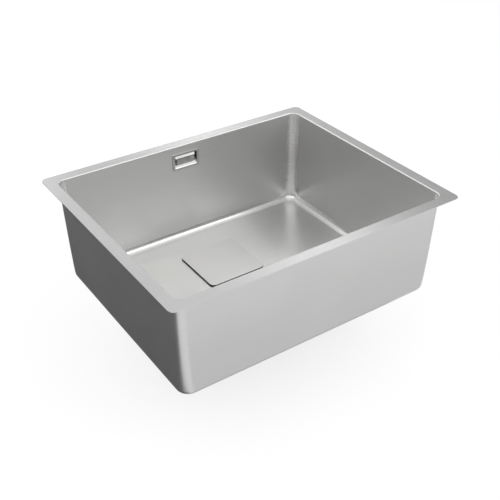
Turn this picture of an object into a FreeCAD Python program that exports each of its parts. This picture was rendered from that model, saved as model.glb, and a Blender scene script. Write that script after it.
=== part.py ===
import FreeCAD, Part

import math
import os

# Undermount kitchen sink: pressed bowl, strainer waste with lift-out basket, waste cover and overflow.
# Millimetres. The origin is the centre of the rim's top face, which meets the underside of the worktop.
# +Z is up, +X runs along the long side and +Y points to the rear wall, which carries the overflow.

over = 1.0                    # how far a cutting body runs past what it cuts

# Bowl
bowl_length = 500.0           # opening along X, wall to wall at the rim's top face
bowl_width = 400.0            # opening along Y
rim_ledge = 20.0              # width of the rim round the opening
rim_corner = 10.0
sheet = 1.0                   # thickness of the pressed steel
mouth_bend = 2.0              # radius of the edge where the rim turns down into the bowl
wall_depth = 189.0            # rim's top face to the foot of the walls
wall_lean = 4.2               # how far each wall leans in from the rim to its foot
upright_corner = 17.0         # inner radius of the upright corners
floor_round = 13.0            # fillet between walls and floor
floor_strip = 2.0             # level strip between that fillet and the falling floor
floor_fall = 5.0              # how far the floor falls to the waste
drain_to_rear = 119.0         # waste axis to the rear wall, at the rim's top face
drain_level_margin = 3.5      # level floor round the recess, at its narrowest
recess_gap = 1.5              # round the waste flange in its recess
recess_depth = 4.0
recess_round = 1.5
waste_hole_gap = 1.3          # round the strainer cup in the bowl's hole

# Damping pad under the floor, in front of the waste
pad_side_margin = 85.0        # pad's ends to the side walls at the rim
pad_front_margin = 50.0
pad_rear_margin = 20.0        # pad to the level floor round the recess
pad_corner = 12.0
pad_thickness = 2.5

# Strainer cup and its clamp
flange_land = 13.5            # how much wider the flange is than the cup's mouth
flange_steel = 1.2
top_seal_thickness = 1.0
top_seal_land = 9.0           # how wide the top seal is
cup_radius = 42.5             # inside, at the flange
cup_taper = 2.5               # how much narrower it is at its floor
cup_depth = 36.0
cup_mouth_bend = 3.0
cup_round = 3.0
cup_slot_count = 6
cup_slot_inner = 12.5
cup_slot_margin = 3.5         # slots' outer ends to the plug seal's lip
cup_slot_angle = 43.0
cup_slot_round = 2.5
clamp_screw_radius = 3.9
clamp_head_width = 3.1        # head beyond the shank
clamp_head_height = 3.2
clamp_slot_width = 1.6
clamp_screw_length = 32.0
clamp_screw_end_gap = 1.2     # screw's end to the bottom of its blind hole
screw_clearance = 0.3         # round the screw where it only passes through
thread_clearance = 0.1        # round the screw in its insert

# Waste body, moulded
lower_seal_thickness = 2.5
body_flange_land = 12.0       # how much wider the body's flange is than the bowl's hole
body_flange_thickness = 5.0
body_wall = 3.2
body_cup_gap = 1.6            # room between the steel cup and the body round it
body_funnel_depth = 14.0
body_funnel_step = 2.0        # how much further out than the outlet's wall the funnel's foot is
outlet_radius = 23.9          # outside, the thread for the trap
outlet_length = 27.0
body_gusset_count = 8
body_gusset_thickness = 3.0
body_gusset_drop = 11.0
body_gusset_first = 22.5      # angle of the first one from +X
hub_wall = 2.5
hub_floor = 4.0               # below the screw's blind hole
hub_height = 18.0
hub_leg_count = 3
hub_leg_thickness = 3.0
hub_leg_height = 13.0
hub_leg_first = 30.0          # angle of the first leg from +X
insert_wall = 1.5
insert_length = 16.0
insert_clearance = 0.05
inlet_head_room = 1.8         # cup's underside to the top of the inlet's spigot
inlet_foot_room = 2.2         # foot of the inlet's spigot to the start of the funnel
inlet_length = 16.0           # from the chamber's wall to the inlet's face

# Lift-out basket
basket_below_flange = 3.4
basket_rim_gap = 1.2          # round the basket's rim in the cup
basket_rim_width = 2.4
basket_under_gap = 9.0        # basket's underside to the cup's floor, room for the carrier
basket_foot_gap = 6.5         # basket's inside to the cup's inside, at their floors
basket_steel = 0.8
basket_round = 3.0
basket_hole_radius = 2.0
basket_row_depths = [5.5, 11.5]           # rows of holes in the wall, below the rim
basket_wall_pitch = 10.2      # least spacing of the holes round the wall
basket_ring_first = 13.0      # radius of the floor's inner ring of holes
basket_ring_step = 7.5
basket_floor_pitch = 9.7      # least spacing of the holes round a ring
stem_radius = 3.0
stem_clearance = 0.05
stem_foot_grip = 1.6          # how far the stem goes into the carrier
stem_head_cover = 4.4         # knob's top to the stem's end
stem_end_gap = 0.1            # between the stem's ends and the bottoms of their holes
stem_shoulder_radius = 7.0
stem_shoulder_height = 1.5
stem_shoulder_round = 0.6
knob_outline = [(6.5, 0.0), (5.5, 2.5), (5.5, 5.0), (9.0, 7.8), (9.0, 9.6), (6.8, 10.8)]   # radius, height
knob_under_cover = 2.2        # knob's top to the cover's underside
carrier_core_radius = 12.0
carrier_flange_radius = 15.0
carrier_flange_thickness = 1.5
carrier_foot_radius = 14.0    # lower flange of the carrier
carrier_foot_thickness = 1.8
carrier_floor_gap = 0.5       # carrier's underside to the cup's floor
carrier_neck_radius = 6.0
head_clearance = 0.6          # round the screw's head under the carrier
plug_seal_thickness = 2.0
plug_lip_inset = 4.5          # lip's outer edge to the cup's wall, at the floor
plug_lip_width = 2.0
plug_lip_height = 1.2
plug_skirt_width = 4.5
plug_skirt_thickness = 1.5
plug_lip_gap = 0.3            # lip to the cup's floor

# Waste cover
cover_inset = 0.5             # recess's edge to the cover's sides
cover_corner = 10.0
cover_steel = 1.2
cover_edge_round = 0.4
cover_gap = 1.8               # plate's underside to the level floor round the recess
cover_ring_gap = 1.0          # round the ring in the cup
cover_ring_wall = 3.0
cover_ring_height = 6.3
cover_ring_band = 2.0         # unbroken part of the ring under the plate
cover_notch_count = 8
cover_notch_angle = 24.0
foot_radius = 4.0
foot_inset = 11.0             # foot's axis to the plate's sides

# Overflow inlet, in a frame on the rear wall's inner face: X along the wall, Y through it, Z up the wall
overflow_drop = 32.0          # rim's top face to the inlet's middle
rosette_side = 3.5            # rosette's face beyond the collar at each end
rosette_top = 2.3             # the same, above and below
rosette_corner = 3.0
rosette_steel = 1.2
inlet_half_x = 23.3           # half of the inlet's opening
inlet_half_z = 12.5
inlet_corner = 1.5
collar_reach = 9.0            # how far the collar goes behind the wall's inner face
collar_hole_gap = 0.5         # round the collar in the wall's hole
panel_setback = 4.0           # panel's front face behind the wall's inner face
panel_slot = 2.8              # slot that the panel leaves at each end
panel_window_margin = 2.5     # window behind the centre plate, to the pegs' axes
panel_window_half_z = 4.5
panel_window_corner = 1.5
ramp_half_height = 5.5        # where the ramp meets the panel, below the middle
ramp_front = 0.8              # ramp's lip in front of the wall's inner face
plate_margin = 2.0            # centre plate's ends to the panel's ends
plate_half_z = 5.3
plate_corner = 1.0
plate_steel = 1.2
plate_proud = 0.6             # plate's face in front of the wall's inner face
peg_radius = 1.5
peg_margin = 8.0              # pegs' axes to the centre plate's ends
peg_clearance = 0.05
case_screw_margin = 4.5       # screws' axes to the panel's ends
case_screw_radius = 1.6
case_screw_length = 14.0
case_head_radius = 2.5
case_head_height = 1.5
case_screw_clearance = 0.05   # round the screw in the housing's boss

# Overflow housing, moulded
gasket_thickness = 2.0
gasket_side = 6.5             # gasket beyond the collar at each end
gasket_top = 4.8              # the same, above and below
gasket_corner = 4.0
housing_flange_thickness = 2.5
housing_side = 3.5            # housing beyond the collar at each end
housing_top = 3.1             # the same, above and below
housing_corner = 4.0
housing_back_margin = 1.5     # spigot's outside to the housing's back
housing_wall = 2.2
housing_boss_radius = 4.0
housing_boss_gap = 0.5        # boss's end behind the collar's end

# Hose and its fittings, the same at both ends
spigot_radius = 11.0
spigot_wall = 3.5
spigot_length = 16.0
nut_wall_gap = 2.0            # upper nut to the bowl's rear wall
hose_seal_thickness = 2.0
hose_collar_inset = 0.4       # hose's collar inside the spigot's outline
hose_collar_thickness = 2.0
hose_bore_step = 0.5          # hose's bore beyond the spigot's
hose_wall = 1.3
hose_rib_height = 1.7
hose_straight = 22.0          # least straight run at each end
rib_pitch = 6.0
rib_flank = 0.8
rib_crest = 2.0
nut_wall = 3.2
nut_length = 18.0
nut_clearance = 0.3
nut_lip = 2.0
nut_flute_count = 12
nut_flute_radius = 2.0

# Heights, radii and places that follow
rim_length = bowl_length + 2 * rim_ledge
rim_width = bowl_width + 2 * rim_ledge
cup_floor_radius = cup_radius - cup_taper
flange_radius = cup_radius + flange_land
recess_radius = flange_radius + recess_gap
waste_hole_radius = cup_radius + flange_steel + waste_hole_gap
drain_level_half = recess_radius + drain_level_margin
drain_offset = bowl_width / 2 - drain_to_rear
floor_z = -wall_depth
drain_z = floor_z - floor_fall
recess_z = drain_z - recess_depth
flange_under_z = recess_z + top_seal_thickness
flange_top_z = flange_under_z + flange_steel
cup_floor_z = flange_top_z - cup_depth
cup_under_z = cup_floor_z - flange_steel
pad_length = bowl_length - 2 * pad_side_margin
pad_front_y = pad_front_margin - bowl_width / 2
pad_rear_y = drain_offset - drain_level_half - pad_rear_margin
clamp_head_radius = clamp_screw_radius + clamp_head_width
insert_radius = clamp_screw_radius + thread_clearance + insert_wall
hub_radius = insert_radius + hub_wall
body_top_z = recess_z - sheet - lower_seal_thickness
body_flange_radius = waste_hole_radius + body_flange_land
body_inner_radius = cup_radius + flange_steel + body_cup_gap
body_outer_radius = body_inner_radius + body_wall
inlet_z = cup_under_z - inlet_head_room - spigot_radius
funnel_top_z = inlet_z - spigot_radius - inlet_foot_room
funnel_foot_z = funnel_top_z - body_funnel_depth
outlet_end_z = funnel_foot_z - outlet_length
screw_hole_z = cup_floor_z - clamp_screw_length - clamp_screw_end_gap
hub_foot_z = screw_hole_z - hub_floor
hub_top_z = hub_foot_z + hub_height
basket_top_z = flange_top_z - basket_below_flange
basket_under_z = cup_floor_z + basket_under_gap
basket_floor_z = basket_under_z + basket_steel
basket_rim_radius = cup_radius - basket_rim_gap - cup_taper * basket_below_flange / cup_depth
basket_mouth_radius = basket_rim_radius - basket_rim_width
basket_foot_radius = cup_floor_radius - basket_foot_gap
plug_lip_radius = cup_floor_radius - plug_lip_inset
cup_slot_outer = plug_lip_radius - plug_lip_width - cup_slot_margin
carrier_foot_z = cup_floor_z + carrier_floor_gap
carrier_groove_z = carrier_foot_z + carrier_foot_thickness
carrier_top_z = carrier_groove_z + plug_seal_thickness + carrier_flange_thickness
cover_side = 2 * (recess_radius - cover_inset)
cover_under_z = drain_z + cover_gap
cover_top_z = cover_under_z + cover_steel
knob_top_z = cover_under_z - knob_under_cover
knob_foot_z = knob_top_z - knob_outline[-1][1]
stem_foot_z = carrier_top_z - stem_foot_grip
stem_head_z = knob_top_z - stem_head_cover
wall_tilt = math.degrees(math.atan2(wall_lean, wall_depth))
collar_half_x = inlet_half_x + rosette_steel
collar_half_z = inlet_half_z + rosette_steel
panel_half_x = inlet_half_x - panel_slot
plate_half_x = panel_half_x - plate_margin
peg_offset = plate_half_x - peg_margin
case_screw_offset = panel_half_x - case_screw_margin
gasket_half_x = collar_half_x + gasket_side
gasket_half_z = collar_half_z + gasket_top
housing_half_x = collar_half_x + housing_side
housing_half_z = collar_half_z + housing_top
housing_front = sheet + gasket_thickness
spigot_bore = spigot_radius - spigot_wall
hose_collar_radius = spigot_radius - hose_collar_inset
hose_bore = spigot_bore + hose_bore_step
hose_root_radius = hose_bore + hose_wall
hose_crest_radius = hose_root_radius + hose_rib_height
nut_radius = spigot_radius + nut_clearance + nut_wall
spigot_setback = sheet + nut_wall_gap + nut_radius
housing_depth = spigot_setback + spigot_radius + housing_back_margin

up = FreeCAD.Vector(0, 0, 1)
centre = FreeCAD.Vector(0, 0, 0)


def vec(x, y, z):
    return FreeCAD.Vector(x, y, z)


# Shapes used throughout

def rounded_rect(half_x, half_y, radius, z):
    """Closed wire of four lines and four quarter arcs, level at height z."""
    arcs = []
    for quarter, (side_x, side_y) in enumerate([(1, 1), (-1, 1), (-1, -1), (1, -1)]):
        middle = vec(side_x * (half_x - radius), side_y * (half_y - radius), z)
        start = quarter * math.pi / 2
        arcs.append(Part.ArcOfCircle(Part.Circle(middle, up, radius), start, start + math.pi / 2))
    edges = []
    for arc, following in zip(arcs, arcs[1:] + arcs[:1]):
        edges.append(arc.toShape())
        edges.append(Part.LineSegment(arc.EndPoint, following.StartPoint).toShape())
    return Part.Wire(edges)


def prism(half_x, half_y, radius, z_low, z_high):
    """Upright block with rounded corners."""
    return Part.Face(rounded_rect(half_x, half_y, radius, z_low)).extrude(vec(0, 0, z_high - z_low))


def slab(half_x, half_z, radius, y_front, y_back):
    """Block with rounded corners that stands on edge, from y_front to y_back."""
    block = prism(half_x, half_z, radius, -y_back, -y_front)
    block.rotate(centre, vec(1, 0, 0), 90)
    return block


def rod(radius, z_low, z_high, x=0.0, y=0.0):
    return Part.makeCylinder(radius, z_high - z_low, vec(x, y, z_low))


def cross_rod(radius, y_front, y_back, x=0.0, z=0.0):
    """Cylinder along +Y."""
    return Part.makeCylinder(radius, y_back - y_front, vec(x, y_front, z), vec(0, 1, 0))


def ring(inner, outer, z_low, z_high):
    return rod(outer, z_low, z_high).cut(rod(inner, z_low, z_high))


def turned(profile):
    """Solid of revolution about Z from a closed outline of (radius, height) points."""
    points = [vec(radius, 0, z) for radius, z in profile]
    outline = Part.makePolygon(points + points[:1])
    return Part.Face(outline).revolve(centre, up, 360)


def around(shape, count, first=0.0):
    """Copies of a shape, evenly spaced about Z."""
    copies = []
    for step in range(count):
        turn = shape.copy()
        turn.rotate(centre, up, first + 360.0 * step / count)
        copies.append(turn)
    return copies


def soften(solid, size, places):
    """Rounds the circular edges that lie at the given (radius, height) places."""
    chosen = []
    for edge in solid.Edges:
        if not isinstance(edge.Curve, Part.Circle):
            continue
        for radius, z in places:
            if abs(edge.Curve.Radius - radius) < 0.01 and abs(edge.Curve.Center.z - z) < 0.01:
                chosen.append(edge)
    return solid.makeFillet(size, chosen)


def level_edges(solid, z, reach_x):
    """Edges that lie level at height z and no further out than reach_x."""
    chosen = []
    for edge in solid.Edges:
        points = edge.discretize(3)
        if all(abs(point.z - z) < 0.001 and abs(point.x) < reach_x for point in points):
            chosen.append(edge)
    return chosen


def upright_edges(solid):
    chosen = []
    for edge in solid.Edges:
        ends = [vertex.Point for vertex in edge.Vertexes]
        if len(ends) == 2 and math.hypot(ends[0].x - ends[1].x, ends[0].y - ends[1].y) < 0.001:
            chosen.append(edge)
    return chosen


def at_waste(shape):
    """Moves a piece made on the Z axis to the waste."""
    shape.translate(vec(0, drain_offset, 0))
    return shape


def wall_place():
    """Where the overflow's own frame lies on the leaning rear wall."""
    wall_y = bowl_width / 2 - wall_lean * overflow_drop / wall_depth
    return FreeCAD.Placement(vec(0, wall_y, -overflow_drop), FreeCAD.Rotation(vec(1, 0, 0), -wall_tilt))


def placed(shape, place):
    shape.Placement = place.multiply(shape.Placement)
    return shape


def on_rear_wall(shape):
    return placed(shape, wall_place())


def collar_hole(y_front, y_back):
    """Room for the overflow's collar with its gap, from y_front to y_back behind the wall's inner face."""
    return slab(collar_half_x + collar_hole_gap, collar_half_z + collar_hole_gap,
                inlet_corner + rosette_steel, y_front, y_back)


# Bowl

def frustum(top_half, top_z, foot_half, foot_z, foot_shift=0.0):
    """Solid between two level rectangles, given by their half sides; the lower one may be shifted."""
    top = []
    foot = []
    for side_x, side_y in [(1, 1), (-1, 1), (-1, -1), (1, -1)]:
        top.append(vec(side_x * top_half[0], side_y * top_half[1], top_z))
        foot.append(vec(side_x * foot_half[0], side_y * foot_half[1] + foot_shift, foot_z))
    outlines = [top, foot]
    for here, following in zip(range(4), [1, 2, 3, 0]):
        outlines.append([top[here], top[following], foot[following], foot[here]])
    faces = [Part.Face(Part.makePolygon(outline + outline[:1])) for outline in outlines]
    solid = Part.makeSolid(Part.makeShell(faces))
    if solid.Volume < 0:
        solid.reverse()
    return solid


def sloping_edges(solid):
    """Edges that join two heights."""
    return [edge for edge in solid.Edges if edge.BoundBox.ZLength > 1]


def wall_half(z):
    """Half sides of the bowl's inside at height z."""
    inset = wall_lean * -z / wall_depth
    return bowl_length / 2 - inset, bowl_width / 2 - inset


def grown(half, size):
    return half[0] + size, half[1] + size


def bowl_space(skin):
    """The room inside the bowl, or with skin the same body with the sheet round it."""
    top_z = 0.0 if skin else sheet
    foot_z = floor_z - skin
    tub = frustum(grown(wall_half(top_z), skin), top_z, grown(wall_half(foot_z), skin), foot_z)
    tub = tub.makeFillet(upright_corner + skin, sloping_edges(tub))
    tub = tub.makeFillet(floor_round + skin, level_edges(tub, foot_z, bowl_length))
    fall_half = grown(wall_half(floor_z), -floor_round - floor_strip)
    fall = frustum(fall_half, foot_z, (drain_level_half, drain_level_half), drain_z - skin, drain_offset)
    recess = rod(recess_radius + skin, recess_z - skin, drain_z + sheet)
    recess = soften(recess, recess_round + skin, [(recess_radius + skin, recess_z - skin)])
    return tub.fuse([fall, at_waste(recess)]).removeSplitter()


def bowl():
    rim = prism(rim_length / 2, rim_width / 2, rim_corner, -sheet, 0)
    steel = rim.fuse(bowl_space(sheet)).cut(bowl_space(0.0)).removeSplitter()
    rim_middle = (rim_length + bowl_length) / 4
    steel = steel.makeFillet(mouth_bend, level_edges(steel, 0, rim_middle))
    steel = steel.makeFillet(mouth_bend - sheet, level_edges(steel, -sheet, rim_middle))
    steel = steel.cut(at_waste(rod(waste_hole_radius, recess_z - 2 * sheet, drain_z)))
    return steel.cut(on_rear_wall(collar_hole(-over, sheet + over)))


def sound_pad():
    """Sheet that lies against the underside of the falling floor."""
    skin = bowl_space(sheet)
    lower = skin.copy()
    lower.translate(vec(0, 0, -pad_thickness))
    outline = prism(pad_length / 2, (pad_rear_y - pad_front_y) / 2, pad_corner,
                    drain_z - 2 * pad_thickness - sheet, floor_z)
    outline.translate(vec(0, (pad_rear_y + pad_front_y) / 2, 0))
    return outline.common(lower).cut(skin)


# Strainer cup, seals and waste body

def cup_radius_at(z):
    return cup_radius - cup_taper * (flange_top_z - z) / cup_depth


def kidney(inner, outer, angle, size, z_low, z_high):
    """Curved slot, centred on +X, with rounded ends."""
    sector = Part.makeCylinder(outer, z_high - z_low, vec(0, 0, z_low), up, angle)
    sector = sector.cut(rod(inner, z_low, z_high))
    sector.rotate(centre, up, -angle / 2)
    return sector.makeFillet(size, upright_edges(sector))


def waste_flange():
    cup = turned([(0, flange_top_z), (flange_radius, flange_top_z), (flange_radius, flange_under_z),
                  (cup_radius_at(flange_under_z) + flange_steel, flange_under_z),
                  (cup_floor_radius + flange_steel, cup_under_z), (0, cup_under_z)])
    cup = soften(cup, cup_round + flange_steel, [(cup_floor_radius + flange_steel, cup_under_z)])
    room = turned([(0, flange_top_z), (cup_radius, flange_top_z), (cup_floor_radius, cup_floor_z),
                   (0, cup_floor_z)])
    room = soften(room, cup_round, [(cup_floor_radius, cup_floor_z)])
    cup = cup.cut(room)
    cup = soften(cup, cup_mouth_bend, [(cup_radius, flange_top_z)])
    cup = soften(cup, cup_mouth_bend - flange_steel,
                 [(cup_radius_at(flange_under_z) + flange_steel, flange_under_z)])
    slot = kidney(cup_slot_inner, cup_slot_outer, cup_slot_angle, cup_slot_round, cup_under_z - over,
                  cup_floor_z + over)
    hole = rod(clamp_screw_radius + screw_clearance, cup_under_z - over, cup_floor_z + over)
    return at_waste(cup.cut(around(slot, cup_slot_count) + [hole]))


def waste_top_seal():
    inner = flange_radius - top_seal_land
    return at_waste(ring(inner, flange_radius, recess_z, flange_under_z))


def waste_lower_seal():
    return at_waste(ring(waste_hole_radius, body_flange_radius, body_top_z, recess_z - sheet))


def waste_body():
    flange_foot_z = body_top_z - body_flange_thickness
    funnel_radius = outlet_radius + body_wall + body_funnel_step
    outside = turned([(0, body_top_z), (body_flange_radius, body_top_z), (body_flange_radius, flange_foot_z),
                      (body_outer_radius, flange_foot_z), (body_outer_radius, funnel_top_z - body_wall / 2),
                      (funnel_radius, funnel_foot_z), (outlet_radius, funnel_foot_z - body_wall),
                      (outlet_radius, outlet_end_z), (0, outlet_end_z)])
    in_wall = body_inner_radius + body_wall / 3
    gusset = Part.Face(Part.makePolygon([
        vec(in_wall, 0, flange_foot_z), vec(body_flange_radius - over, 0, flange_foot_z),
        vec(in_wall, 0, flange_foot_z - body_gusset_drop), vec(in_wall, 0, flange_foot_z)]))
    gusset = gusset.extrude(vec(0, body_gusset_thickness, 0))
    gusset.translate(vec(0, -body_gusset_thickness / 2, 0))
    spigot_face = body_outer_radius + inlet_length
    spigot = cross_rod(spigot_radius, body_inner_radius - over, spigot_face, z=inlet_z)
    outside = outside.fuse(around(gusset, body_gusset_count, body_gusset_first) + [spigot])
    bore = outlet_radius - body_wall
    room = turned([(0, body_top_z + over), (body_inner_radius, body_top_z + over),
                   (body_inner_radius, funnel_top_z), (bore, funnel_foot_z), (bore, outlet_end_z - over),
                   (0, outlet_end_z - over)])
    hub = rod(hub_radius, hub_foot_z, hub_top_z)
    leg = Part.makeBox(in_wall, hub_leg_thickness, hub_leg_height, vec(0, -hub_leg_thickness / 2, hub_foot_z))
    spider = hub.fuse(around(leg, hub_leg_count, hub_leg_first)).common(rod(in_wall, hub_foot_z, hub_top_z))
    body = outside.cut(room).fuse(spider.common(room.fuse(outside))).removeSplitter()
    socket = rod(insert_radius + insert_clearance, hub_top_z - insert_length, hub_top_z)
    screw_hole = rod(clamp_screw_radius + screw_clearance, screw_hole_z, hub_top_z)
    water = cross_rod(spigot_bore, 0, spigot_face + over, z=inlet_z)
    water = water.cut(rod(hub_radius + over, hub_foot_z, hub_top_z + over))
    return at_waste(body.cut([socket, screw_hole, water]))


def waste_insert():
    nut = ring(clamp_screw_radius + thread_clearance, insert_radius, hub_top_z - insert_length, hub_top_z)
    return at_waste(nut)


def waste_screw():
    head = rod(clamp_head_radius, cup_floor_z, cup_floor_z + clamp_head_height)
    head = soften(head, clamp_head_height / 2, [(clamp_head_radius, cup_floor_z + clamp_head_height)])
    driver = Part.makeBox(2 * clamp_head_radius, clamp_slot_width, clamp_head_height / 2,
                          vec(-clamp_head_radius, -clamp_slot_width / 2, cup_floor_z + clamp_head_height / 2))
    shank = rod(clamp_screw_radius, cup_floor_z - clamp_screw_length, cup_floor_z)
    return at_waste(head.cut(driver).fuse(shank))


# Lift-out basket

def spaced(radius, pitch):
    """How many holes go round a circle at no less than the given spacing."""
    return int(2 * math.pi * radius / pitch)


def basket():
    rim_foot_z = basket_top_z - basket_steel
    outside = turned([(0, basket_top_z), (basket_rim_radius, basket_top_z), (basket_rim_radius, rim_foot_z),
                      (basket_mouth_radius + basket_steel, rim_foot_z),
                      (basket_foot_radius + basket_steel, basket_under_z), (0, basket_under_z)])
    outside = soften(outside, basket_round + basket_steel,
                     [(basket_foot_radius + basket_steel, basket_under_z)])
    room = turned([(0, basket_top_z), (basket_mouth_radius, basket_top_z),
                   (basket_foot_radius, basket_floor_z), (0, basket_floor_z)])
    room = soften(room, basket_round, [(basket_foot_radius, basket_floor_z)])
    holes = []
    wall_count = spaced(basket_foot_radius, basket_wall_pitch)
    for row, depth in enumerate(basket_row_depths):
        start = vec(basket_foot_radius - over, 0, basket_top_z - depth)
        through = Part.makeCylinder(basket_hole_radius, basket_rim_radius - start.x, start, vec(1, 0, 0))
        holes += around(through, wall_count, 180.0 * row / wall_count)
    radius = basket_ring_first
    while radius + basket_hole_radius + basket_round <= basket_foot_radius:
        through = rod(basket_hole_radius, basket_under_z - over, basket_floor_z + over, x=radius)
        holes += around(through, spaced(radius, basket_floor_pitch))
        radius += basket_ring_step
    holes.append(rod(stem_radius + stem_clearance, basket_under_z - over, basket_floor_z + over))
    return at_waste(outside.cut(room).cut(holes))


def basket_stem():
    shoulder_top_z = basket_floor_z + stem_shoulder_height
    shoulder = rod(stem_shoulder_radius, basket_floor_z, shoulder_top_z)
    shoulder = soften(shoulder, stem_shoulder_round, [(stem_shoulder_radius, shoulder_top_z)])
    return at_waste(rod(stem_radius, stem_foot_z, stem_head_z).fuse(shoulder))


def basket_knob():
    outline = [(radius, knob_foot_z + height) for radius, height in knob_outline]
    grip = turned([(0, knob_foot_z)] + outline + [(0, knob_top_z)])
    socket = rod(stem_radius + stem_clearance, knob_foot_z - over, stem_head_z + stem_end_gap)
    return at_waste(grip.cut(socket))


def basket_nut():
    """Carrier under the basket: holds the plug seal in its groove and sits over the clamp screw's head."""
    flange_foot_z = carrier_top_z - carrier_flange_thickness
    body = turned([(0, carrier_foot_z), (carrier_foot_radius, carrier_foot_z),
                   (carrier_foot_radius, carrier_groove_z), (carrier_core_radius, carrier_groove_z),
                   (carrier_core_radius, flange_foot_z), (carrier_flange_radius, flange_foot_z),
                   (carrier_flange_radius, carrier_top_z), (carrier_neck_radius, carrier_top_z),
                   (carrier_neck_radius, basket_under_z), (0, basket_under_z)])
    pocket = rod(clamp_head_radius + head_clearance, carrier_foot_z - over,
                 cup_floor_z + clamp_head_height + head_clearance / 2)
    stem_hole = rod(stem_radius + stem_clearance, stem_foot_z - stem_end_gap, basket_under_z + over)
    return at_waste(body.cut([pocket, stem_hole]))


def basket_seal():
    """Plug seal: a flat ring held in the carrier's groove, with a skirt that reaches the cup's floor."""
    top_z = carrier_groove_z + plug_seal_thickness
    lip_z = cup_floor_z + plug_lip_gap
    knee = plug_lip_radius - plug_skirt_width
    seal = turned([(carrier_core_radius, carrier_groove_z), (carrier_core_radius, top_z), (knee, top_z),
                   (plug_lip_radius, lip_z + plug_lip_height), (plug_lip_radius, lip_z),
                   (plug_lip_radius - plug_lip_width, lip_z),
                   (knee - plug_skirt_thickness, carrier_groove_z)])
    return at_waste(seal)


# Waste cover

def waste_cover():
    plate = prism(cover_side / 2, cover_side / 2, cover_corner, cover_under_z, cover_top_z)
    edges = level_edges(plate, cover_top_z, cover_side)
    return at_waste(plate.makeFillet(cover_edge_round, edges))


def cover_ring():
    outer = cup_radius - cover_ring_gap
    foot_z = cover_under_z - cover_ring_height
    hoop = ring(outer - cover_ring_wall, outer, foot_z, cover_under_z)
    notch = Part.makeCylinder(outer + over, cover_ring_height - cover_ring_band, vec(0, 0, foot_z), up,
                              cover_notch_angle)
    return at_waste(hoop.cut(around(notch, cover_notch_count)))


def cover_feet():
    reach = cover_side / 2 - foot_inset
    feet = [rod(foot_radius, drain_z, cover_under_z, x, y) for x in (-reach, reach) for y in (-reach, reach)]
    return at_waste(Part.makeCompound(feet))


# Overflow inlet and housing

def overflow_rosette():
    face = slab(collar_half_x + rosette_side, collar_half_z + rosette_top, rosette_corner, -rosette_steel, 0)
    collar = slab(collar_half_x, collar_half_z, inlet_corner + rosette_steel, 0, collar_reach)
    opening = slab(inlet_half_x, inlet_half_z, inlet_corner, -rosette_steel - over, collar_reach + over)
    panel_back = panel_setback + rosette_steel
    panel = Part.makeBox(2 * inlet_half_x, rosette_steel, 2 * inlet_half_z,
                         vec(-inlet_half_x, panel_setback, -inlet_half_z))
    window = slab(peg_offset - panel_window_margin, panel_window_half_z, panel_window_corner,
                  panel_setback - over, panel_back + over)
    end_slot = Part.makeBox(inlet_half_x - panel_half_x, rosette_steel + 2 * over,
                            inlet_half_z + ramp_half_height,
                            vec(panel_half_x, panel_setback - over, -ramp_half_height))
    other_slot = end_slot.mirror(centre, vec(1, 0, 0))
    panel = panel.cut([window, end_slot, other_slot])
    for radius, x in [(peg_radius + peg_clearance, peg_offset),
                      (case_screw_radius + screw_clearance, case_screw_offset)]:
        for side in (-1, 1):
            panel = panel.cut(cross_rod(radius, panel_setback - over, panel_back + over, x=side * x))
    ramp = Part.Face(Part.makePolygon([
        vec(-inlet_half_x, -ramp_front, -inlet_half_z), vec(-inlet_half_x, panel_setback, -ramp_half_height),
        vec(-inlet_half_x, panel_back, -ramp_half_height), vec(-inlet_half_x, panel_back, -inlet_half_z),
        vec(-inlet_half_x, -ramp_front, -inlet_half_z)])).extrude(vec(2 * inlet_half_x, 0, 0))
    inside = opening.common(panel.fuse(ramp))
    frame = face.fuse(collar).cut(opening).fuse(inside).removeSplitter()
    return on_rear_wall(frame)


def overflow_plate():
    back = plate_steel - plate_proud
    plate = slab(plate_half_x, plate_half_z, plate_corner, -plate_proud, back)
    peg_end = panel_setback + rosette_steel
    pegs = [cross_rod(peg_radius, back, peg_end, x=side * peg_offset) for side in (-1, 1)]
    return on_rear_wall(plate.fuse(pegs))


def overflow_screws():
    screws = []
    for side in (-1, 1):
        x = side * case_screw_offset
        head = cross_rod(case_head_radius, panel_setback - case_head_height, panel_setback, x=x)
        shank = cross_rod(case_screw_radius, panel_setback, panel_setback + case_screw_length, x=x)
        screws.append(on_rear_wall(head.fuse(shank)))
    return Part.makeCompound(screws)


def overflow_gasket():
    pad = slab(gasket_half_x, gasket_half_z, gasket_corner, sheet, housing_front)
    return on_rear_wall(pad.cut(collar_hole(sheet - over, housing_front + over)))


def overflow_housing():
    flange = slab(gasket_half_x, gasket_half_z, gasket_corner, housing_front,
                  housing_front + housing_flange_thickness)
    block = slab(housing_half_x, housing_half_z, housing_corner, housing_front, housing_depth)
    spigot = rod(spigot_radius, -housing_half_z - spigot_length, 0, y=spigot_setback)
    room = slab(housing_half_x - housing_wall, housing_half_z - housing_wall, housing_corner - housing_wall,
                housing_front - over, housing_depth - housing_wall)
    bore = rod(spigot_bore, -housing_half_z - spigot_length - over, 0, y=spigot_setback)
    body = flange.fuse([block, spigot]).cut([room, bore])
    tip = panel_setback + case_screw_length
    for side in (-1, 1):
        boss = cross_rod(housing_boss_radius, collar_reach + housing_boss_gap,
                         housing_depth - housing_wall / 2, x=side * case_screw_offset)
        hole = cross_rod(case_screw_radius + case_screw_clearance, collar_reach, tip + over,
                         x=side * case_screw_offset)
        body = body.fuse(boss).cut(hole)
    return on_rear_wall(body.removeSplitter())


# Hose fittings, made with the spigot's face at the origin and +Z away from it

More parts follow.
